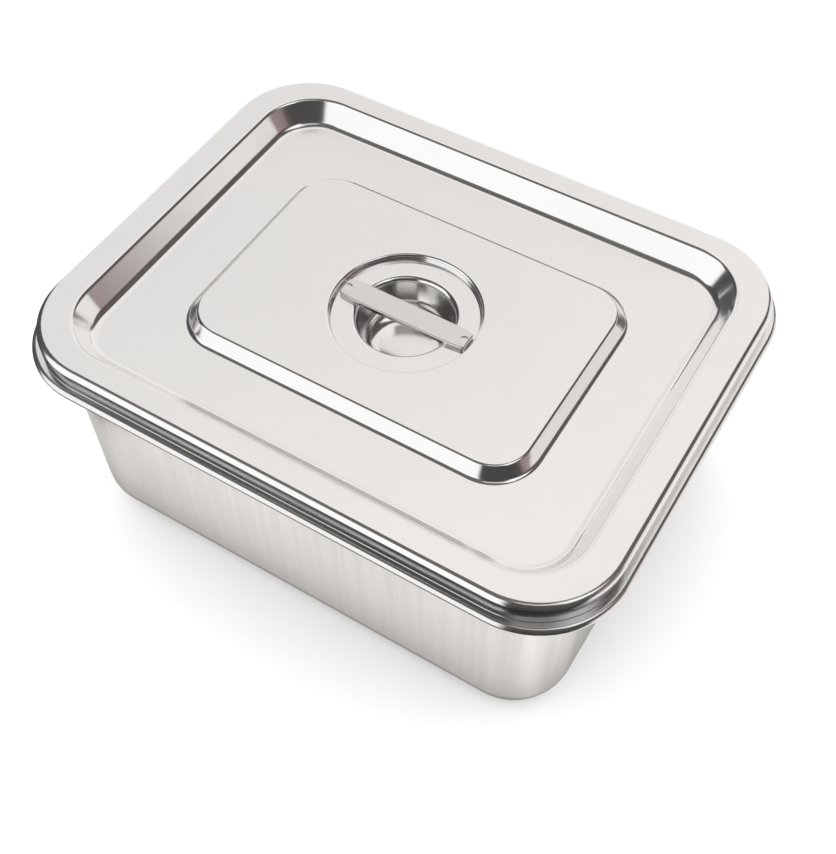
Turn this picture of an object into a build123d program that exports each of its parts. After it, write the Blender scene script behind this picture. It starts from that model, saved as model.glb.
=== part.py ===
"""Covered stainless-steel instrument tray: a drawn pan, a pressed lid and a strap handle.

Millimetres, +Z up.  The origin is the centre of the pan's underside, where it rests on the table.
X runs along the long side and Y along the short side.
"""

import math
import os

from build123d import *

os.makedirs("parts", exist_ok=True)

# ---- driving dimensions -------------------------------------------------------------------------
SHEET = 0.8  # thickness of the pan and lid sheet
FLAT = 4.0  # flat sheet kept on each side of a formed wall of the lid

# Pan.  Half sizes are measured to the outside of the wall, just under the rim.
PAN_HALF_LENGTH = 113.7
PAN_HALF_WIDTH = 89.6
PAN_CORNER_RADIUS = 26.6
PAN_WALL_TAPER = 1.0  # degrees the wall leans in towards the foot
PAN_FOOT_RADIUS = 16.0  # outside radius between wall and floor
PAN_MOUTH_RADIUS = 3.0  # inside radius between wall and flange
RIM_HEIGHT = 95.6  # top of the flange the lid stands on

# Curled bead round the outside of the pan's flange
BEAD_HALF_LENGTH = 127.0
BEAD_HALF_WIDTH = 99.1
BEAD_CORNER_RADIUS = 36.5
BEAD_RADIUS = 2.0
CURL_STRAIGHT = 0.1  # short straight between two quarter turns of the curl

# Lid
LID_HALF_LENGTH = 123.8
LID_HALF_WIDTH = 95.8
LID_CORNER_RADIUS = 34.5
LID_RISE = 9.4  # height of the lid's rim band above the flange
LID_EDGE_RADIUS = 2.7  # roll-over from the rim band into the skirt

WELL_HALF_LENGTH = 110.1  # sunken field inside the rim band, at its top edge
WELL_HALF_WIDTH = 84.5
WELL_CORNER_RADIUS = 25.0
WELL_DEPTH = 9.6
WELL_WALL_RUN = 6.5  # how far the sloping wall moves in over that depth
WELL_EDGE_RADIUS = 2.2
WELL_FOOT_RADIUS = 4.5

PLATEAU_HALF_LENGTH = 72.7  # raised panel in the middle of the well, at its top edge
PLATEAU_HALF_WIDTH = 48.8
PLATEAU_CORNER_RADIUS = 15.0
PLATEAU_RISE = 5.0
PLATEAU_WALL_RUN = 4.2
PLATEAU_EDGE_RADIUS = 1.8
PLATEAU_FOOT_RADIUS = 3.0

# Round handle recess pressed into the plateau: a shallow seat, then a deep finger bowl
RECESS_SHIFT = -1.0  # the recess sits this far in front of the lid's centre
SEAT_RADIUS = 30.1
SEAT_DEPTH = 2.8
SEAT_WALL_RUN = 0.4
SEAT_EDGE_RADIUS = 1.4
SEAT_FOOT_RADIUS = 1.0
BOWL_RADIUS = 19.6
BOWL_DEPTH = 18.0
BOWL_WALL_RUN = 1.8
BOWL_LIP_RADIUS = 2.4
BOWL_FOOT_RADIUS = 8.0
RECESS_CUTTER_HEIGHT = 4 * SHEET  # tall enough to clear the recess's place out of the plateau sheet

# Strap handle, welded by its two ends to the seat
STRAP_LENGTH = 57.0
STRAP_WIDTH = 10.0
STRAP_END_WIDTH = 8.6
STRAP_END_TAPER_LENGTH = 7.0
STRAP_THICKNESS = 2.0
STRAP_CORNER_RADIUS = 1.5
STRAP_EDGE_RADIUS = 0.6
WELD_SPACING = 53.0  # between the centres of the two weld dimples
WELD_DIMPLE_RADIUS = 1.6
WELD_DIMPLE_DEPTH = 0.3

# ---- levels that follow from the dimensions above -----------------------------------------------
LID_TOP = RIM_HEIGHT + LID_RISE
WELL_FLOOR = LID_TOP - WELL_DEPTH
PLATEAU_TOP = WELL_FLOOR + PLATEAU_RISE
SEAT_FLOOR = PLATEAU_TOP - SEAT_DEPTH
BOWL_FLOOR = SEAT_FLOOR - BOWL_DEPTH


# ---- sheet-metal helpers ------------------------------------------------------------------------
def unit(a, b):
    """Unit vector from point a to point b."""
    length = math.hypot(b[0] - a[0], b[1] - a[1])
    return ((b[0] - a[0]) / length, (b[1] - a[1]) / length)


def offset_points(points, distance):
    """Points of the polyline parallel to this one, the given distance to its right."""
    directions = [unit(a, b) for a, b in zip(points, points[1:])]
    moved = []
    for i, point in enumerate(points):
        before = directions[max(i - 1, 0)]
        after = directions[min(i, len(directions) - 1)]
        sum_x = before[1] + after[1]
        sum_y = -before[0] - after[0]
        scale = distance * 2 / (sum_x**2 + sum_y**2)
        moved.append((point[0] + sum_x * scale, point[1] + sum_y * scale))
    return moved


def turn(before, corner, after):
    """Signed angle the path turns through at a corner, positive to the left."""
    d1 = unit(before, corner)
    d2 = unit(corner, after)
    return math.atan2(d1[0] * d2[1] - d1[1] * d2[0], d1[0] * d2[0] + d1[1] * d2[1])


def rounded_path(points, radii):
    """Edges along a polyline whose inner corners are rounded to the given radii."""
    edges = []
    start = points[0]
    for i, radius in enumerate(radii):
        before, corner, after = points[i : i + 3]
        angle = turn(before, corner, after)
        trim = radius * math.tan(abs(angle) / 2)
        d1 = unit(before, corner)
        d2 = unit(corner, after)
        arc_in = (corner[0] - d1[0] * trim, corner[1] - d1[1] * trim)
        arc_out = (corner[0] + d2[0] * trim, corner[1] + d2[1] * trim)
        reach = radius * (1 / math.cos(angle / 2) - 1)
        inward = ((d2[0] - d1[0]), (d2[1] - d1[1]))
        size = math.hypot(*inward)
        middle = (corner[0] + inward[0] / size * reach, corner[1] + inward[1] / size * reach)
        edges.append(Line(start, arc_in))
        edges.append(ThreePointArc(arc_in, middle, arc_out))
        start = arc_out
    edges.append(Line(start, points[-1]))
    return edges


def sheet_profile(points, radii):
    """Cross-section of bent sheet whose upper face follows points; the metal lies to the right."""
    under_points = offset_points(points, SHEET)
    under_radii = []
    for i, radius in enumerate(radii):
        turns_left = turn(*points[i : i + 3]) > 0
        under_radii.append(radius + SHEET if turns_left else radius - SHEET)
    top = rounded_path(points, radii)
    under = rounded_path(under_points, under_radii)
    ends = [Line(points[0], under_points[0]), Line(points[-1], under_points[-1])]
    return make_face(Wire(top + under + ends).edges())


def ring_path(half_length, half_width, corner_radius):
    """Closed path round a rounded rectangle, starting in the middle of its +X side."""
    straight_x = half_length - corner_radius
    straight_y = half_width - corner_radius
    diagonal = corner_radius * math.sqrt(0.5)
    edges = [Line((half_length, 0), (half_length, straight_y))]
    corners = [(1, 1), (-1, 1), (-1, -1), (1, -1)]
    for i, (sx, sy) in enumerate(corners):
        on_x_side = (sx * half_length, sy * straight_y)
        on_y_side = (sx * straight_x, sy * half_width)
        middle = (sx * (straight_x + diagonal), sy * (straight_y + diagonal))
        start, end = (on_x_side, on_y_side) if sx == sy else (on_y_side, on_x_side)
        edges.append(ThreePointArc(start, middle, end))
        next_sx, next_sy = corners[(i + 1) % 4]
        if next_sy == sy:
            next_start = (next_sx * straight_x, sy * half_width)
        else:
            next_start = (sx * half_length, next_sy * straight_y)
        if i < 3:
            edges.append(Line(end, next_start))
        else:
            edges.append(Line(end, (half_length, 0)))
    return Wire(edges)


def formed_ring(points, radii, half_length, half_width, corner_radius):
    """Bent sheet carried round a rounded rectangle.

    Each point is (distance outwards from the rectangle, height).
    """
    section = Plane(origin=(half_length, 0, 0), x_dir=(1, 0, 0), z_dir=(0, -1, 0))
    profile = section * sheet_profile(points, radii)
    return sweep(profile, path=ring_path(half_length, half_width, corner_radius))


def plate(top, half_length, half_width, corner_radius):
    """Flat rounded rectangle of sheet whose upper face is at the given height."""
    outline = RectangleRounded(2 * half_length, 2 * half_width, corner_radius)
    return extrude(Pos(0, 0, top) * outline, amount=-SHEET)


def formed_round(points, radii):
    """Bent sheet spun round the Z axis; each point is (distance from the axis, height)."""
    section = Plane(origin=(0, 0, 0), x_dir=(1, 0, 0), z_dir=(0, -1, 0))
    return revolve(section * sheet_profile(points, radii), axis=Axis.Z, revolution_arc=360)


# ---- pan: drawn body with a curled bead round its flange ----------------------------------------
def make_pan():
    wall_lean = (RIM_HEIGHT - SHEET) * math.tan(math.radians(PAN_WALL_TAPER))
    foot_inside = -SHEET - wall_lean
    floor_edge = foot_inside - PAN_FOOT_RADIUS
    mouth_end = PAN_MOUTH_RADIUS
    wall = formed_ring(
        [(floor_edge, SHEET), (foot_inside, SHEET), (-SHEET, RIM_HEIGHT), (mouth_end, RIM_HEIGHT)],
        [PAN_FOOT_RADIUS - SHEET, PAN_MOUTH_RADIUS],
        PAN_HALF_LENGTH,
        PAN_HALF_WIDTH,
        PAN_CORNER_RADIUS,
    )
    floor = plate(
        SHEET,
        PAN_HALF_LENGTH + floor_edge,
        PAN_HALF_WIDTH + floor_edge,
        PAN_CORNER_RADIUS + floor_edge,
    )
    curl = 2 * BEAD_RADIUS + CURL_STRAIGHT
    bead_start = -BEAD_RADIUS - CURL_STRAIGHT
    bead = formed_ring(
        [
            (bead_start, RIM_HEIGHT),
            (0, RIM_HEIGHT),
            (0, RIM_HEIGHT - curl),
            (-curl, RIM_HEIGHT - curl),
            (-curl, RIM_HEIGHT - BEAD_RADIUS),
        ],
        [BEAD_RADIUS] * 3,
        BEAD_HALF_LENGTH,
        BEAD_HALF_WIDTH,
        BEAD_CORNER_RADIUS,
    )
    flange = plate(
        RIM_HEIGHT,
        BEAD_HALF_LENGTH + bead_start,
        BEAD_HALF_WIDTH + bead_start,
        BEAD_CORNER_RADIUS + bead_start,
    ) - plate(
        RIM_HEIGHT,
        PAN_HALF_LENGTH + mouth_end,
        PAN_HALF_WIDTH + mouth_end,
        PAN_CORNER_RADIUS + mouth_end,
    )
    return wall + floor + flange + bead


# ---- lid: one pressing --------------------------------------------------------------------------
def make_lid():
    edge_start = -LID_EDGE_RADIUS - CURL_STRAIGHT
    skirt = formed_ring(
        [(edge_start, LID_TOP), (0, LID_TOP), (0, RIM_HEIGHT)],
        [LID_EDGE_RADIUS],
        LID_HALF_LENGTH,
        LID_HALF_WIDTH,
        LID_CORNER_RADIUS,
    )
    band = plate(
        LID_TOP,
        LID_HALF_LENGTH + edge_start,
        LID_HALF_WIDTH + edge_start,
        LID_CORNER_RADIUS + edge_start,
    ) - plate(
        LID_TOP,
        WELL_HALF_LENGTH + FLAT,
        WELL_HALF_WIDTH + FLAT,
        WELL_CORNER_RADIUS + FLAT,
    )
    well_wall = formed_ring(
        [
            (-WELL_WALL_RUN - FLAT, WELL_FLOOR),
            (-WELL_WALL_RUN, WELL_FLOOR),
            (0, LID_TOP),
            (FLAT, LID_TOP),
        ],
        [WELL_FOOT_RADIUS, WELL_EDGE_RADIUS],
        WELL_HALF_LENGTH,
        WELL_HALF_WIDTH,
        WELL_CORNER_RADIUS,
    )
    well_floor = plate(
        WELL_FLOOR,
        WELL_HALF_LENGTH - WELL_WALL_RUN - FLAT,
        WELL_HALF_WIDTH - WELL_WALL_RUN - FLAT,
        WELL_CORNER_RADIUS - WELL_WALL_RUN - FLAT,
    ) - plate(
        WELL_FLOOR,
        PLATEAU_HALF_LENGTH + PLATEAU_WALL_RUN + FLAT,
        PLATEAU_HALF_WIDTH + PLATEAU_WALL_RUN + FLAT,
        PLATEAU_CORNER_RADIUS + PLATEAU_WALL_RUN + FLAT,
    )
    plateau_wall = formed_ring(
        [
            (-FLAT, PLATEAU_TOP),
            (0, PLATEAU_TOP),
            (PLATEAU_WALL_RUN, WELL_FLOOR),
            (PLATEAU_WALL_RUN + FLAT, WELL_FLOOR),
        ],
        [PLATEAU_EDGE_RADIUS, PLATEAU_FOOT_RADIUS],
        PLATEAU_HALF_LENGTH,
        PLATEAU_HALF_WIDTH,
        PLATEAU_CORNER_RADIUS,
    )
    recess_edge = SEAT_RADIUS + FLAT
    plateau_panel = plate(
        PLATEAU_TOP,
        PLATEAU_HALF_LENGTH - FLAT,
        PLATEAU_HALF_WIDTH - FLAT,
        PLATEAU_CORNER_RADIUS - FLAT,
    ) - Pos(0, RECESS_SHIFT, PLATEAU_TOP) * Cylinder(recess_edge, RECESS_CUTTER_HEIGHT)
    recess = Pos(0, RECESS_SHIFT, 0) * formed_round(
        [
            (0, BOWL_FLOOR),
            (BOWL_RADIUS - BOWL_WALL_RUN, BOWL_FLOOR),
            (BOWL_RADIUS, SEAT_FLOOR),
            (SEAT_RADIUS - SEAT_WALL_RUN, SEAT_FLOOR),
            (SEAT_RADIUS, PLATEAU_TOP),
            (recess_edge, PLATEAU_TOP),
        ],
        [BOWL_FOOT_RADIUS, BOWL_LIP_RADIUS, SEAT_FOOT_RADIUS, SEAT_EDGE_RADIUS],
    )
    return skirt + band + well_wall + well_floor + plateau_wall + plateau_panel + recess


# ---- strap handle -------------------------------------------------------------------------------
def make_strap():
    end = STRAP_LENGTH / 2
    shoulder = end - STRAP_END_TAPER_LENGTH
    half = STRAP_WIDTH / 2
    end_half = STRAP_END_WIDTH / 2
    outline = Polygon(
        (-end, -end_half),
        (-shoulder, -half),
        (shoulder, -half),
        (end, -end_half),
        (end, end_half),
        (shoulder, half),
        (-shoulder, half),
        (-end, end_half),
        align=None,
    )
    ends = [v for v in outline.vertices() if abs(v.X) > shoulder + 1]
    outline = fillet(ends, STRAP_CORNER_RADIUS)
    strap = extrude(Pos(0, 0, SEAT_FLOOR) * outline, amount=STRAP_THICKNESS)
    strap = fillet(strap.faces().sort_by(Axis.Z)[-1].edges(), STRAP_EDGE_RADIUS)
    strap_top = SEAT_FLOOR + STRAP_THICKNESS
    # A weld dimple is the cap of a sphere that cuts the top face in a circle of the dimple's radius.
    ball = (WELD_DIMPLE_RADIUS**2 + WELD_DIMPLE_DEPTH**2) / (2 * WELD_DIMPLE_DEPTH)
    for side in (-1, 1):
        centre = Pos(side * WELD_SPACING / 2, 0, strap_top - WELD_DIMPLE_DEPTH + ball)
        strap = strap - centre * Sphere(ball)
    return Pos(0, RECESS_SHIFT, 0) * strap


export_step(make_pan(), "parts/tray_pan.step")
export_step(make_lid(), "parts/lid_cover.step")
export_step(make_strap(), "parts/handle_strap.step")
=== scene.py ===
"""Looks of a covered stainless-steel instrument tray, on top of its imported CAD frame.

Metres, +Z up.  The pan and the lid are modelled here as closed bent sheets, to the CAD model's
measures, and stand for their CAD nodes; the strap handle is the CAD node itself.
"""

import math

import bpy
from mathutils import Matrix, Vector


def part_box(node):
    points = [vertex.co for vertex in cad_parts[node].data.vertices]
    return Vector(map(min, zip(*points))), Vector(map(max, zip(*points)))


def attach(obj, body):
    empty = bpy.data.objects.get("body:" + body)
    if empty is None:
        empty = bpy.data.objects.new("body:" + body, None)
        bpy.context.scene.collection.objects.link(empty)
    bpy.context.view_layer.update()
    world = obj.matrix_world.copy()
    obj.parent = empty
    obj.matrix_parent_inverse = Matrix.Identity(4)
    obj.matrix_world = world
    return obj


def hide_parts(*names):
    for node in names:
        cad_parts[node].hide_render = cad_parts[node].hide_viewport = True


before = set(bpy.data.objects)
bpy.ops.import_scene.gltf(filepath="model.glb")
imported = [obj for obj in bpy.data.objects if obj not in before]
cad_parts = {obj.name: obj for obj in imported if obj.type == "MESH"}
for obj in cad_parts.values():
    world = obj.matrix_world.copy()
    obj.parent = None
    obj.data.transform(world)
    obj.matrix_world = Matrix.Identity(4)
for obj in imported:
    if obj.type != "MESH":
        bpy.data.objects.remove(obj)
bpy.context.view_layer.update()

MM = 0.001
MICRON = 0.001 * MM

# ---- measures, from the CAD boxes ---------------------------------------------------------------
pan_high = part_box("tray_pan")[1]
lid_low, lid_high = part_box("lid_cover")
strap_low, strap_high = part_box("handle_strap")

SHEET = 0.8 * MM
FLAT = 4.0 * MM  # flat sheet kept beside each pressed wall, where the profiles meet
EDGE_STRAIGHT = 0.1 * MM  # straight sheet left between a flat and a rolled edge

RIM_HEIGHT = pan_high.z
BEAD_HALF = (pan_high.x, pan_high.y)
BEAD_CORNER = 36.5 * MM
BEAD_RADIUS = 2.0 * MM
CURL = 2 * BEAD_RADIUS + EDGE_STRAIGHT
WALL_HALF = (pan_high.x - 13.3 * MM, pan_high.y - 9.5 * MM)
WALL_CORNER = 26.6 * MM
WALL_TAPER = math.radians(1.0)
WALL_LEAN = (RIM_HEIGHT - SHEET) * math.tan(WALL_TAPER)
FOOT_RADIUS = 16.0 * MM
MOUTH_RADIUS = 3.0 * MM

LID_TOP = lid_high.z
LID_HALF = (lid_high.x, lid_high.y)
LID_CORNER = 34.5 * MM
LID_EDGE_RADIUS = 2.7 * MM
SKIRT_FOOT = RIM_HEIGHT + SHEET / 2  # the rounded cut edge below it rests on the rim
WELL_HALF = (lid_high.x - 13.7 * MM, lid_high.y - 11.3 * MM)
WELL_CORNER = 25.0 * MM
WELL_FLOOR = LID_TOP - 9.6 * MM
WELL_RUN = 6.5 * MM
WELL_FOOT_RADIUS = 4.5 * MM
WELL_EDGE_RADIUS = 2.2 * MM
PLATEAU_HALF = (72.7 * MM, 48.8 * MM)
PLATEAU_CORNER = 15.0 * MM
PLATEAU_TOP = WELL_FLOOR + 5.0 * MM
PLATEAU_RUN = 4.2 * MM
PLATEAU_EDGE_RADIUS = 1.8 * MM
PLATEAU_FOOT_RADIUS = 3.0 * MM
RECESS_SHIFT = (strap_low.y + strap_high.y) / 2
SEAT_RADIUS = 30.1 * MM
SEAT_FLOOR = strap_low.z
SEAT_RUN = 0.4 * MM
SEAT_FOOT_RADIUS = 1.0 * MM
SEAT_EDGE_RADIUS = 1.4 * MM
BOWL_RADIUS = 19.6 * MM
BOWL_FLOOR = lid_low.z + SHEET
BOWL_FLOOR_RADIUS = 8.0 * MM
BOWL_RUN = 1.8 * MM
BOWL_FOOT_RADIUS = 8.0 * MM
BOWL_LIP_RADIUS = 2.4 * MM

# ---- mesh density -------------------------------------------------------------------------------
SEGMENTS_X = 24
SEGMENTS_Y = 18
SEGMENTS_CORNER = 16
ARC_STEP = math.radians(7.5)
LEAST_ARC_STEPS = 3
CUT_EDGE_STEPS = 6
LEAST_CORNER = 0.2 * MM


# ---- bent-sheet geometry ------------------------------------------------------------------------
def direction(a, b):
    """Unit vector from one profile point to another."""
    length = math.hypot(b[0] - a[0], b[1] - a[1])
    return ((b[0] - a[0]) / length, (b[1] - a[1]) / length)


def turn_angle(before, corner, after):
    """Angle a profile turns by at a corner, positive to the left."""
    ax, ay = direction(before, corner)
    bx, by = direction(corner, after)
    return math.atan2(ax * by - ay * bx, ax * bx + ay * by)


def parallel(points, distance):
    """The polyline the given distance to the right of this one."""
    ways = [direction(a, b) for a, b in zip(points, points[1:])]
    moved = []
    for i, point in enumerate(points):
        before = ways[max(i - 1, 0)]
        after = ways[min(i, len(ways) - 1)]
        sum_x = before[1] + after[1]
        sum_y = -before[0] - after[0]
        reach = 2 * distance / (sum_x * sum_x + sum_y * sum_y)
        moved.append((point[0] + sum_x * reach, point[1] + sum_y * reach))
    return moved


def bend(points, radii):
    """Samples of a polyline with rounded corners.

    Each sample is (u, z, normal u, normal z), and the normals point to the line's left.
    """
    way = direction(points[0], points[1])
    samples = [(*points[0], -way[1], way[0])]
    for i, radius in enumerate(radii):
        before, corner, after = points[i : i + 3]
        angle = turn_angle(before, corner, after)
        trim = radius * math.tan(abs(angle) / 2)
        way = direction(before, corner)
        start = (corner[0] - way[0] * trim, corner[1] - way[1] * trim)
        arm = radius if angle > 0 else -radius
        centre = (start[0] - way[1] * arm, start[1] + way[0] * arm)
        steps = max(LEAST_ARC_STEPS, math.ceil(abs(angle) / ARC_STEP))
        for k in range(steps + 1):
            swing = angle * k / steps
            c, s = math.cos(swing), math.sin(swing)
            nu, nz = -way[1] * c - way[0] * s, -way[1] * s + way[0] * c
            samples.append((centre[0] - nu * arm, centre[1] - nz * arm, nu, nz))
    way = direction(points[-2], points[-1])
    samples.append((*points[-1], -way[1], way[0]))
    return samples


def faces_of_sheet(points, radii):
    """(upper samples, lower samples) of bent sheet; points run outwards along its upper face."""
    upper = bend(points, radii)
    lower_radii = []
    for i, radius in enumerate(radii):
        turns_up = turn_angle(*points[i : i + 3]) > 0
        lower_radii.append(radius + SHEET if turns_up else radius - SHEET)
    lower = [(u, z, -nu, -nz) for u, z, nu, nz in bend(parallel(points, SHEET), lower_radii)]
    return upper, lower


def rounded_end(upper_end, lower_end):
    """Samples of the half-round cut edge that joins the two faces of a sheet."""
    centre_u = (upper_end[0] + lower_end[0]) / 2
    centre_z = (upper_end[1] + lower_end[1]) / 2
    nu, nz = upper_end[2], upper_end[3]
    samples = []
    for k in range(1, CUT_EDGE_STEPS):
        swing = -math.pi * k / CUT_EDGE_STEPS
        c, s = math.cos(swing), math.sin(swing)
        out_u, out_z = nu * c - nz * s, nu * s + nz * c
        samples.append((centre_u + out_u * SHEET / 2, centre_z + out_z * SHEET / 2, out_u, out_z))
    return samples


# ---- loops round the object ---------------------------------------------------------------------
def loop_marks():
    """Points of a loop, anticlockwise from the middle of the +X side.

    Each is (x share, y share, direction x, direction y).  The shares say where the point's anchor
    is between the centres of the corner arcs, and the direction points outwards from it.
    """
    marks = []
    half_x, half_y = SEGMENTS_X // 2, SEGMENTS_Y // 2
    for quadrant, (sx, sy) in enumerate([(1, 1), (-1, 1), (-1, -1), (1, -1)]):
        begins_on_x_side = quadrant % 2 == 0
        lead, tail = (half_y, half_x) if begins_on_x_side else (half_x, half_y)
        first_angle = math.radians(90 * quadrant)
        last_angle = first_angle + math.pi / 2
        for k in range(lead):
            share = k / lead
            anchor = (sx, sy * share) if begins_on_x_side else (sx * share, sy)
            marks.append((*anchor, math.cos(first_angle), math.sin(first_angle)))
        for k in range(SEGMENTS_CORNER + 1):
            angle = first_angle + math.pi / 2 * k / SEGMENTS_CORNER
            marks.append((sx, sy, math.cos(angle), math.sin(angle)))
        for k in range(1, tail):
            share = 1 - k / tail
            anchor = (sx * share, sy) if begins_on_x_side else (sx, sy * share)
            marks.append((*anchor, math.cos(last_angle), math.sin(last_angle)))
    return marks


MARKS = loop_marks()
LOOP = len(MARKS)


def rounded_rectangle(half, corner):
    """A plan: a function that gives the rectangle's loop grown outwards by u.

    The loop is (points, outward directions).
    """

    def grown(u):
        radius = max(corner + u, LEAST_CORNER)
        centre_x, centre_y = half[0] + u - radius, half[1] + u - radius
        points = [
            (share_x * centre_x + dx * radius, share_y * centre_y + dy * radius)
            for share_x, share_y, dx, dy in MARKS
        ]
        return points, [mark[2:] for mark in MARKS]

    return grown


def recess_circle(radius):
    """The plan of the round recess: a circle with as many points as a rectangle's loop."""
    angles = [2 * math.pi * k / LOOP for k in range(LOOP)]
    ways = [(math.cos(angle), math.sin(angle)) for angle in angles]
    return [(radius * dx, radius * dy + RECESS_SHIFT) for dx, dy in ways], ways


WALL_PLAN = rounded_rectangle(WALL_HALF, WALL_CORNER)
BEAD_PLAN = rounded_rectangle(BEAD_HALF, BEAD_CORNER)
LID_PLAN = rounded_rectangle(LID_HALF, LID_CORNER)
WELL_PLAN = rounded_rectangle(WELL_HALF, WELL_CORNER)
PLATEAU_PLAN = rounded_rectangle(PLATEAU_HALF, PLATEAU_CORNER)


class Skin:
    """Vertices, faces and exact normals of one closed piece built from loops."""

    def __init__(self):
        self.points = []
        self.normals = []
        self.faces = []
        self.last = None  # first point of the last loop

    def lay(self, samples, plan):
        """Adds one loop per profile sample, each joined to the loop before it."""
        for u, z, nu, nz in samples:
            start = len(self.points)
            for (x, y), (dx, dy) in zip(*plan(u)):
                self.points.append((x, y, z))
                self.normals.append((dx * nu, dy * nu, nz))
            if self.last is not None:
                for k in range(LOOP):
                    n = (k + 1) % LOOP
                    self.faces.append((self.last + k, start + k, start + n, self.last + n))
            self.last = start

    def between(self, first, second, share, axis):
        """Coordinate part of the way from one point to another."""
        return (1 - share) * self.points[first][axis] + share * self.points[second][axis]

    def cap(self, start, up):
        """Fills a flat loop with a grid of four-sided faces that runs from corner to corner."""
        corner = SEGMENTS_CORNER // 2
        rows = SEGMENTS_Y + 2 * corner
        columns = SEGMENTS_X + 2 * corner
        first = LOOP - rows // 2  # middle of the corner at +X, -Y

        def on_loop(k):
            return start + (first + k) % LOOP

        right = [on_loop(k) for k in range(rows + 1)]
        top = [on_loop(rows + columns - k) for k in range(columns + 1)]
        left = [on_loop(2 * rows + columns - k) for k in range(rows + 1)]
        bottom = [on_loop(2 * rows + columns + k) for k in range(columns + 1)]
        ids = {}
        for j in range(rows + 1):
            ids[0, j], ids[columns, j] = left[j], right[j]
            if j in (0, rows):
                edge = top if j else bottom
                ids.update({(i, j): edge[i] for i in range(1, columns)})
                continue
            for i in range(1, columns):
                s, t = i / columns, j / rows
                spot = []
                for axis in (0, 1):
                    across = self.between(left[j], right[j], s, axis)
                    along = self.between(bottom[i], top[i], t, axis)
                    low_ends = self.between(bottom[0], bottom[columns], s, axis)
                    high_ends = self.between(top[0], top[columns], s, axis)
                    spot.append(across + along - (1 - t) * low_ends - t * high_ends)
                ids[i, j] = len(self.points)
                self.points.append((*spot, self.points[start][2]))
                self.normals.append((0, 0, 1 if up else -1))
        for j in range(rows):
            for i in range(columns):
                face = (ids[i, j], ids[i + 1, j], ids[i + 1, j + 1], ids[i, j + 1])
                self.faces.append(face if up else face[::-1])

    def build(self, name):
        """Closes the first and last loops and makes the mesh object."""
        self.cap(0, True)
        self.cap(self.last, False)
        mesh = bpy.data.meshes.new(name)
        mesh.from_pydata(self.points, [], self.faces)
        mesh.update()
        for polygon in mesh.polygons:
            polygon.use_smooth = True
        mesh.normals_split_custom_set_from_vertices(self.normals)
        piece = bpy.data.objects.new(name, mesh)
        bpy.context.scene.collection.objects.link(piece)
        return piece


def make_sheet(name, parts):
    """One closed sheet from (plan, upper profile, radii) parts, from its middle outwards."""
    sides = [(plan, *faces_of_sheet(points, radii)) for plan, points, radii in parts]
    skin = Skin()
    for plan, upper, lower in sides:
        skin.lay(upper, plan)
    outer_plan, outer_upper, outer_lower = sides[-1]
    skin.lay(rounded_end(outer_upper[-1], outer_lower[-1]), outer_plan)
    for plan, upper, lower in sides[::-1]:
        skin.lay(lower[::-1], plan)
    return skin.build(name)


# ---- pan ----------------------------------------------------------------------------------------
def make_pan():
    foot = -SHEET - WALL_LEAN
    wall = [
        (foot - FOOT_RADIUS, SHEET),
        (foot, SHEET),
        (-SHEET, RIM_HEIGHT),
        (MOUTH_RADIUS, RIM_HEIGHT),
    ]
    bead = [
        (-BEAD_RADIUS - EDGE_STRAIGHT, RIM_HEIGHT),
        (0, RIM_HEIGHT),
        (0, RIM_HEIGHT - CURL),
        (-CURL, RIM_HEIGHT - CURL),
        (-CURL, RIM_HEIGHT - BEAD_RADIUS),
    ]
    parts = [
        (WALL_PLAN, wall, [FOOT_RADIUS - SHEET, MOUTH_RADIUS]),
        (BEAD_PLAN, bead, [BEAD_RADIUS] * 3),
    ]
    return make_sheet("pan_body", parts)


# ---- lid ----------------------------------------------------------------------------------------
def make_lid():
    recess = [
        (BOWL_FLOOR_RADIUS, BOWL_FLOOR),
        (BOWL_RADIUS - BOWL_RUN, BOWL_FLOOR),
        (BOWL_RADIUS, SEAT_FLOOR),
        (SEAT_RADIUS - SEAT_RUN, SEAT_FLOOR),
        (SEAT_RADIUS, PLATEAU_TOP),
        (SEAT_RADIUS + FLAT, PLATEAU_TOP),
    ]
    plateau = [
        (-FLAT, PLATEAU_TOP),
        (0, PLATEAU_TOP),
        (PLATEAU_RUN, WELL_FLOOR),
        (PLATEAU_RUN + FLAT, WELL_FLOOR),
    ]
    well = [
        (-WELL_RUN - FLAT, WELL_FLOOR),
        (-WELL_RUN, WELL_FLOOR),
        (0, LID_TOP),
        (FLAT, LID_TOP),
    ]
    edge = [
        (-LID_EDGE_RADIUS - EDGE_STRAIGHT, LID_TOP),
        (0, LID_TOP),
        (0, SKIRT_FOOT),
    ]
    recess_radii = [BOWL_FOOT_RADIUS, BOWL_LIP_RADIUS, SEAT_FOOT_RADIUS, SEAT_EDGE_RADIUS]
    parts = [
        (recess_circle, recess, recess_radii),
        (PLATEAU_PLAN, plateau, [PLATEAU_EDGE_RADIUS, PLATEAU_FOOT_RADIUS]),
        (WELL_PLAN, well, [WELL_FOOT_RADIUS, WELL_EDGE_RADIUS]),
        (LID_PLAN, edge, [LID_EDGE_RADIUS]),
    ]
    return make_sheet("lid_sheet", parts)


pan = make_pan()
lid = make_lid()


# ---- shader-node helpers ------------------------------------------------------------------------
def add(tree, kind, inputs=None, **settings):
    """A shader node; each input is a plain value or another node's output socket."""
    node = tree.nodes.new("ShaderNode" + kind)
    for key, value in settings.items():
        setattr(node, key, value)
    for key, value in (inputs or {}).items():
        if isinstance(value, bpy.types.NodeSocket):
            tree.links.new(value, node.inputs[key])
        else:
            node.inputs[key].default_value = value
    return node


def calc(tree, operation, *values):
    """Result of one arithmetic step."""
    return add(tree, "Math", dict(enumerate(values)), operation=operation).outputs[0]


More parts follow.
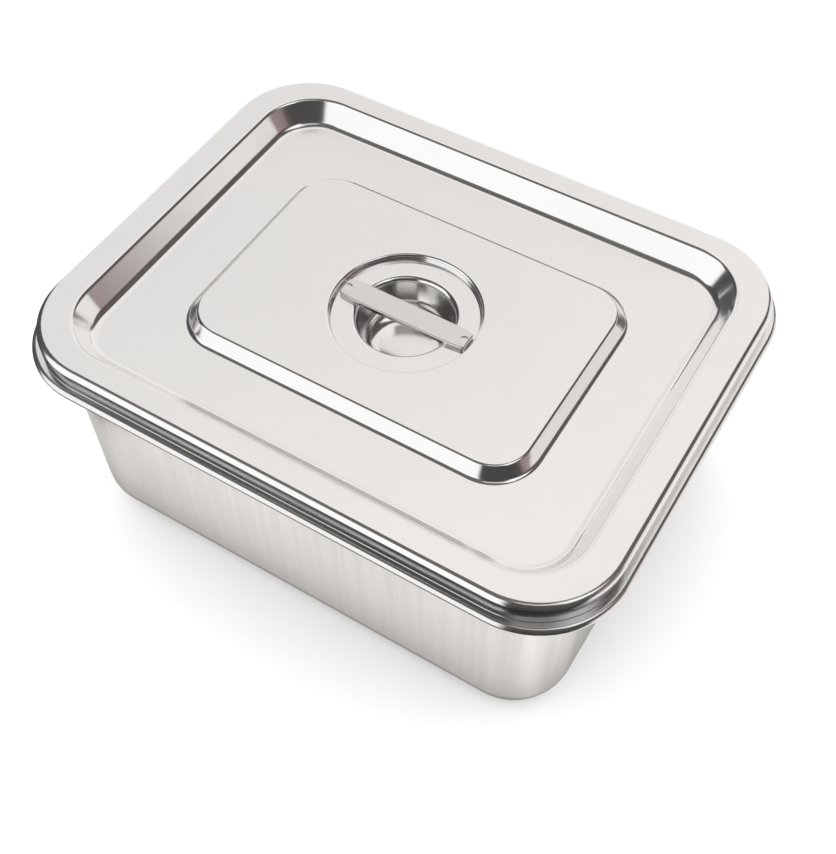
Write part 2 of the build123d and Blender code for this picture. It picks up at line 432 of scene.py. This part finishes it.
def ramp(tree, value, low, high, to_low=0.0, to_high=1.0):
    """Value carried smoothly from low..high to to_low..to_high."""
    inputs = {0: value, 1: low, 2: high, 3: to_low, 4: to_high}
    return add(tree, "MapRange", inputs, interpolation_type="SMOOTHSTEP").outputs[0]


def blend(tree, share, first, second, mode="MIX"):
    """Mixture of two colours."""
    inputs = {0: share, 6: first, 7: second}
    return add(tree, "Mix", inputs, data_type="RGBA", blend_type=mode).outputs[2]


def noise(tree, where, cells, detail=2.0, roughness=0.5):
    """Noise with the given number of cells per metre along X, Y and Z."""
    scaled = add(tree, "Mapping", {"Vector": where, "Scale": cells}).outputs[0]
    inputs = {"Vector": scaled, "Scale": 1.0, "Detail": detail, "Roughness": roughness}
    return add(tree, "TexNoise", inputs).outputs[0]


# ---- stainless steel ----------------------------------------------------------------------------
# Cells of noise per metre.
GRAIN_ACROSS = 2600.0  # fine brushing
GRAIN_ALONG = 90.0
SCRATCH_ACROSS = 900.0
SCRATCH_ALONG = 25.0
WAVE_CELLS = 22.0  # slow unevenness of pressed sheet
SMUDGE_CELLS = 14.0
DRAW_ACROSS = 260.0  # draw lines down a deep-drawn wall
DRAW_ALONG = 5.0

# Noise values between which each kind of mark comes in.
SCRATCH_BAND = (0.66, 0.74)
SMUDGE_BAND = (0.42, 0.68)
DRAW_BAND = (0.4, 0.65)
GRAIN_DULL_BAND = (0.3, 0.7)
GRAIN_SHADE_BAND = (0.25, 0.75)

# What the marks do, as shares of the grain's depth, of the roughness and of the steel's colour.
SCRATCH_CUT = -0.3
GRAIN_DULLS = (0.85, 1.15)
SMUDGE_DULLS = 0.3
SCRATCH_DULLS = 0.4
DRAW_DULLS = 0.2
GRAIN_SHADES = (0.97, 1.0)
SMUDGE_SHADES = -0.02
DRAW_SHADES = -0.035

# Flatness, 1 for a level face and 0 for an upright one, below which a face counts as a wall.
DRAWN_WALL = (0.5, 0.1)
SKIRT_WALL = (0.4, 0.1)
# Painted shade on the front of the lid's skirt, for the dark room it mirrors: where it begins and
# where it is full, as shares of the lid's half width, and how much of it the slow waves leave.
SKIRT_FRONT = (-0.4, -0.8)
SKIRT_WAVE_BAND = (0.2, 0.8)
SKIRT_UNEVEN = (0.8, 1.0)

ALONG_X, ALONG_Z = 0, 2
PAN_STEEL = dict(
    colour=(0.87, 0.86, 0.85),
    roughness=0.15,
    grain_axis=ALONG_Z,
    grain_depth=0.8 * MICRON,
    wave_depth=30 * MICRON,
    draw_depth=4 * MICRON,
)
LID_STEEL = dict(
    colour=(0.93, 0.92, 0.91),
    roughness=0.14,
    grain_axis=ALONG_X,
    grain_depth=0.6 * MICRON,
    wave_depth=20 * MICRON,
    # painted shade darkening the front skirt's colour, for the dark room it mirrors
    skirt_painted_shade=0.55,
)
STRAP_STEEL = dict(
    colour=(0.78, 0.77, 0.76),
    roughness=0.18,
    grain_axis=ALONG_X,
    grain_depth=2 * MICRON,
)


def painted_skirt_shade(tree, where, flatness, wave):
    """Painted shade mask: 1 on the upright skirt along the lid's front, down to its crease with
    the rim.
    """
    place = add(tree, "SeparateXYZ", {0: where}).outputs
    at_front = ramp(tree, place[1], *(share * LID_HALF[1] for share in SKIRT_FRONT))
    roll_middle, roll_end = LID_TOP - LID_EDGE_RADIUS / 2, LID_TOP - LID_EDGE_RADIUS
    below_roll = ramp(tree, place[2], roll_middle, roll_end)
    upright = ramp(tree, flatness, *SKIRT_WALL)
    uneven = ramp(tree, wave, *SKIRT_WAVE_BAND, *SKIRT_UNEVEN)
    shaded = calc(tree, "MULTIPLY", calc(tree, "MULTIPLY", at_front, below_roll), upright)
    return calc(tree, "MULTIPLY", shaded, uneven)


def stainless(
    name,
    colour,
    roughness,
    grain_axis,
    grain_depth,
    wave_depth=0.0,
    draw_depth=0.0,
    # painted shade on the lid's front skirt
    skirt_painted_shade=0.0,
):
    """Satin stainless sheet: brushed grain, stray scratches, slow waves, wiped smudges; painted
    shade on the lid's front skirt.
    """
    material = bpy.data.materials.new(name)
    material.use_nodes = True
    tree = material.node_tree
    shader = tree.nodes["Principled BSDF"]
    where = add(tree, "TexCoord").outputs["Object"]

    def streaks(across, along):
        cells = [across] * 3
        cells[grain_axis] = along
        return cells

    grain = noise(tree, where, streaks(GRAIN_ACROSS, GRAIN_ALONG), detail=3.0, roughness=0.6)
    scratch = ramp(tree, noise(tree, where, streaks(SCRATCH_ACROSS, SCRATCH_ALONG)), *SCRATCH_BAND)
    wave = noise(tree, where, [WAVE_CELLS] * 3, detail=1.0)
    smudge = ramp(tree, noise(tree, where, [SMUDGE_CELLS] * 3, detail=5.0), *SMUDGE_BAND)
    draw = ramp(tree, noise(tree, where, (DRAW_ACROSS, DRAW_ACROSS, DRAW_ALONG)), *DRAW_BAND)

    # Draw lines belong to the upright walls only.
    normal = add(tree, "SeparateXYZ", {0: add(tree, "NewGeometry").outputs["Normal"]})
    flatness = calc(tree, "ABSOLUTE", normal.outputs[2])
    draw_share = calc(tree, "MULTIPLY", draw, ramp(tree, flatness, *DRAWN_WALL))

    height = calc(tree, "MULTIPLY", grain, grain_depth)
    height = calc(tree, "MULTIPLY_ADD", scratch, SCRATCH_CUT * grain_depth, height)
    height = calc(tree, "MULTIPLY_ADD", wave, wave_depth, height)
    height = calc(tree, "MULTIPLY_ADD", draw_share, draw_depth, height)
    bump = add(tree, "Bump", {"Strength": 1.0, "Distance": 1.0, "Height": height}).outputs[0]

    dull = ramp(tree, grain, *GRAIN_DULL_BAND, *(roughness * share for share in GRAIN_DULLS))
    dull = calc(tree, "MULTIPLY_ADD", smudge, roughness * SMUDGE_DULLS, dull)
    dull = calc(tree, "MULTIPLY_ADD", scratch, roughness * SCRATCH_DULLS, dull)
    dull = calc(tree, "MULTIPLY_ADD", draw_share, roughness * DRAW_DULLS, dull)

    shade = ramp(tree, grain, *GRAIN_SHADE_BAND, *GRAIN_SHADES)
    shade = calc(tree, "MULTIPLY_ADD", smudge, SMUDGE_SHADES, shade)
    shade = calc(tree, "MULTIPLY_ADD", draw_share, DRAW_SHADES, shade)
    # Painted shade: the lid's front skirt is darkened in colour for the dark room it mirrors.
    if skirt_painted_shade:
        shaded = painted_skirt_shade(tree, where, flatness, wave)
        kept = calc(tree, "MULTIPLY_ADD", shaded, -skirt_painted_shade, 1.0)
        shade = calc(tree, "MULTIPLY", shade, kept)
    grey = add(tree, "CombineXYZ", {0: shade, 1: shade, 2: shade}).outputs[0]
    tinted = blend(tree, 1.0, grey, (*colour, 1.0), "MULTIPLY")

    tree.links.new(tinted, shader.inputs["Base Color"])
    tree.links.new(dull, shader.inputs["Roughness"])
    tree.links.new(bump, shader.inputs["Normal"])
    shader.inputs["Metallic"].default_value = 1.0
    return material


pan.data.materials.append(stainless("pan_steel", **PAN_STEEL))
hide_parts("tray_pan")
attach(pan, "pan")
lid.data.materials.append(stainless("lid_steel", **LID_STEEL))
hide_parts("lid_cover")
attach(lid, "lid")
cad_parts["handle_strap"].data.materials[0] = stainless("strap_steel", **STRAP_STEEL)

# ---- floor --------------------------------------------------------------------------------------
FLOOR_HALF = 3.0
FLOOR_COLOUR = (0.9, 0.9, 0.9, 1)
FLOOR_ROUGHNESS = 0.9


def make_floor():
    """White floor that catches the tray's soft shadow."""
    mesh = bpy.data.meshes.new("floor")
    corners = [(-1, -1), (1, -1), (1, 1), (-1, 1)]
    mesh.from_pydata([(x * FLOOR_HALF, y * FLOOR_HALF, 0) for x, y in corners], [], [(0, 1, 2, 3)])
    floor = bpy.data.objects.new("floor", mesh)
    bpy.context.scene.collection.objects.link(floor)
    material = bpy.data.materials.new("floor")
    material.use_nodes = True
    shader = material.node_tree.nodes["Principled BSDF"]
    shader.inputs["Base Color"].default_value = FLOOR_COLOUR
    shader.inputs["Roughness"].default_value = FLOOR_ROUGHNESS
    shader.inputs["Specular IOR Level"].default_value = 0.0
    mesh.materials.append(material)
    # The steel mirrors the glowing sheet, a painted reflection of the table, and the world below
    # the horizon instead.
    floor.visible_glossy = False


# ---- glowing sheet under the tray: painted reflection of the table ------------------------------
# Rings round the pan's wall: how far outside it, and how bright the sheet glows; the dim inner
# rings are painted shadow under the foot.
GLOW_RINGS = [
    (-FOOT_RADIUS, 0.10),
    (-6 * MM, 0.16),
    (2 * MM, 0.45),
    (14 * MM, 0.76),
    (30 * MM, 0.95),
    (47 * MM, 0.97),
]
GLOW_COLOUR = (1.0, 0.97, 0.94, 1)
# A painted highlight off the near corner, as bearings in degrees round that corner's centre.
BRIGHT_BEARING = 130
BRIGHT_REACH = 12
BRIGHT_GAIN = 0.25
# Painted shade off the left corner.
DARK_CENTRE = (-150 * MM, -90 * MM)
DARK_REACH = 40 * MM
DARK_LOSS = 0.35


def sheet_glow(x, y, ring_light):
    """How bright the glowing sheet is at one place of a ring, with its painted highlight and
    shade.
    """
    from_corner = (x - WALL_HALF[0] + WALL_CORNER, y + WALL_HALF[1] - WALL_CORNER)
    bearing = math.degrees(math.atan2(*from_corner))
    bright = math.exp(-(((bearing - BRIGHT_BEARING) / BRIGHT_REACH) ** 2))
    away = math.hypot(x - DARK_CENTRE[0], y - DARK_CENTRE[1])
    dark = math.exp(-((away / DARK_REACH) ** 2))
    return ring_light * (1 + BRIGHT_GAIN * bright - DARK_LOSS * dark)


def make_glow_sheet():
    """Glowing sheet round the foot, seen only in the steel: a painted reflection with painted
    shadow.
    """
    points, faces, light = [], [], []
    for reach, ring_light in GLOW_RINGS:
        start = len(points)
        for x, y in WALL_PLAN(reach)[0]:
            points.append((x, y, 0))
            light.append(sheet_glow(x, y, ring_light))
        if start:
            inner = start - LOOP
            for k in range(LOOP):
                n = (k + 1) % LOOP
                faces.append((inner + k, start + k, start + n, inner + n))
    mesh = bpy.data.meshes.new("glow_sheet")
    mesh.from_pydata(points, [], faces)
    mesh.attributes.new("light", "FLOAT", "POINT").data.foreach_set("value", light)
    glow_sheet = bpy.data.objects.new("glow_sheet", mesh)
    bpy.context.scene.collection.objects.link(glow_sheet)
    material = bpy.data.materials.new("glow_sheet")
    material.use_nodes = True
    tree = material.node_tree
    # Painted light: the sheet glows though it is no lamp, dim near the pan as painted shadow.
    strength = add(tree, "Attribute", attribute_name="light").outputs["Fac"]
    glow = add(tree, "Emission", {"Strength": strength, "Color": GLOW_COLOUR})
    tree.links.new(glow.outputs[0], tree.nodes["Material Output"].inputs["Surface"])
    mesh.materials.append(material)
    glow_sheet.visible_camera = False
    glow_sheet.visible_diffuse = False
    glow_sheet.visible_shadow = False


make_floor()
make_glow_sheet()

# ---- studio -------------------------------------------------------------------------------------
# What the steel mirrors, as soft-edged zones of the sky round the tray, each laid over the ones
# before it.  Azimuth runs clockwise from +Y through +X.  Each zone is (azimuth, half width, lowest
# elevation, highest elevation, softness, colour), in degrees.
SKY = (0.815, 0.79, 0.775)
WHITE = (1.06, 1.06, 1.06)
ZONES = [
    (-65, 30, 20, 90, 30, (0.80, 0.79, 0.785)),  # left part of the back wall
    (0, 22, 20, 90, 24, (0.885, 0.86, 0.845)),  # right part, a little lighter
    (-30, 80, 54, 90, 16, (0.925, 0.90, 0.87)),  # higher up it is lighter too
    (-25, 38, -90, 25, 10, (0.93, 0.92, 0.91)),  # low back wall
    (0, 180, 73, 91, 4, (0.14, 0.135, 0.135)),  # ceiling
    (-128, 60, 47, 91, 4, (0.11, 0.105, 0.105)),  # above the front light
    (-92, 25, -91, 50, 6, (0.06, 0.055, 0.06)),  # left of the front light
    (-149, 34, -33, 47, 5, WHITE),  # front light
    (-149, 60, -91, -38, 12, (0.075, 0.07, 0.07)),  # floor of the room before the table
    (61, 45, -2, 91, 6, (0.09, 0.072, 0.068)),  # right wall
    (55, 50, -91, -4, 6, (0.93, 0.92, 0.92)),  # table to the right
    (44, 18, -10, 18, 8, (0.86, 0.84, 0.83)),  # pale cupboard low on the right
    (77, 14, -4, 24, 6, (0.30, 0.22, 0.22)),  # brown curtain beside it
    (138, 38, -91, 62, 6, (0.05, 0.045, 0.045)),  # camera and operator
    (90, 25, 46, 76, 6, WHITE),  # lamp high on the right
]
# What lights the floor and fills the background.
PLAIN = (1.6, 1.6, 1.6)


def make_studio():
    """World that shows the zones to mirror rays and plain light to all others."""
    world = bpy.data.worlds.new("studio")
    bpy.context.scene.world = world
    world.use_nodes = True
    tree = world.node_tree
    view = add(tree, "SeparateXYZ", {0: add(tree, "TexCoord").outputs["Generated"]}).outputs
    azimuth = calc(tree, "ARCTAN2", view[0], view[1])
    elevation = calc(tree, "ARCSINE", view[2])
    mirrored = (*SKY, 1)
    for *angles, colour in ZONES:
        centre, reach, low, high, softness = map(math.radians, angles)
        half = softness / 2
        share = 1.0
        if reach < math.pi:
            aside = calc(tree, "WRAP", calc(tree, "SUBTRACT", azimuth, centre), math.pi, -math.pi)
            share = ramp(tree, calc(tree, "ABSOLUTE", aside), reach + half, reach - half)
        if low > -math.pi / 2:
            share = calc(tree, "MULTIPLY", share, ramp(tree, elevation, low - half, low + half))
        if high < math.pi / 2:
            share = calc(tree, "MULTIPLY", share, ramp(tree, elevation, high + half, high - half))
        mirrored = blend(tree, share, mirrored, (*colour, 1))
    is_mirrored = add(tree, "LightPath").outputs["Is Glossy Ray"]
    seen = blend(tree, is_mirrored, (*PLAIN, 1), mirrored)
    tree.links.new(seen, tree.nodes["Background"].inputs["Color"])


make_studio()

# ---- camera -------------------------------------------------------------------------------------
CAMERA_AZIMUTH = math.radians(31.585)
CAMERA_ELEVATION = math.radians(54.0)
CAMERA_ROLL = math.radians(-0.362)
CAMERA_DISTANCE = 479.94 * MM  # from the lid's middle, before the shifts across the view
CAMERA_SHIFT_RIGHT = 4.03 * MM
CAMERA_SHIFT_UP = -48.69 * MM
LENS = 53.3743
SENSOR_WIDTH = 36


def make_camera():
    """Camera of the photograph."""
    level = math.cos(CAMERA_ELEVATION)
    sideways, forwards = math.sin(CAMERA_AZIMUTH), math.cos(CAMERA_AZIMUTH)
    back = Vector((sideways * level, -forwards * level, math.sin(CAMERA_ELEVATION)))
    right = Vector((forwards, sideways, 0))
    up = back.cross(right)
    place = Vector((0, 0, LID_TOP)) + back * CAMERA_DISTANCE
    place += right * CAMERA_SHIFT_RIGHT + up * CAMERA_SHIFT_UP
    rolled_right = right * math.cos(CAMERA_ROLL) + up * math.sin(CAMERA_ROLL)
    rolled_up = up * math.cos(CAMERA_ROLL) - right * math.sin(CAMERA_ROLL)
    turned = Matrix((rolled_right, rolled_up, back)).transposed().to_4x4()
    data = bpy.data.cameras.new("camera")
    data.sensor_fit = "HORIZONTAL"
    data.sensor_width = SENSOR_WIDTH
    data.lens = LENS
    data.clip_start = 0.01
    camera = bpy.data.objects.new("camera", data)
    camera.matrix_world = Matrix.Translation(place) @ turned
    bpy.context.scene.collection.objects.link(camera)
    bpy.context.scene.camera = camera


make_camera()
bpy.context.scene.view_settings.view_transform = "Standard"
bpy.context.scene.cycles.use_denoising = True
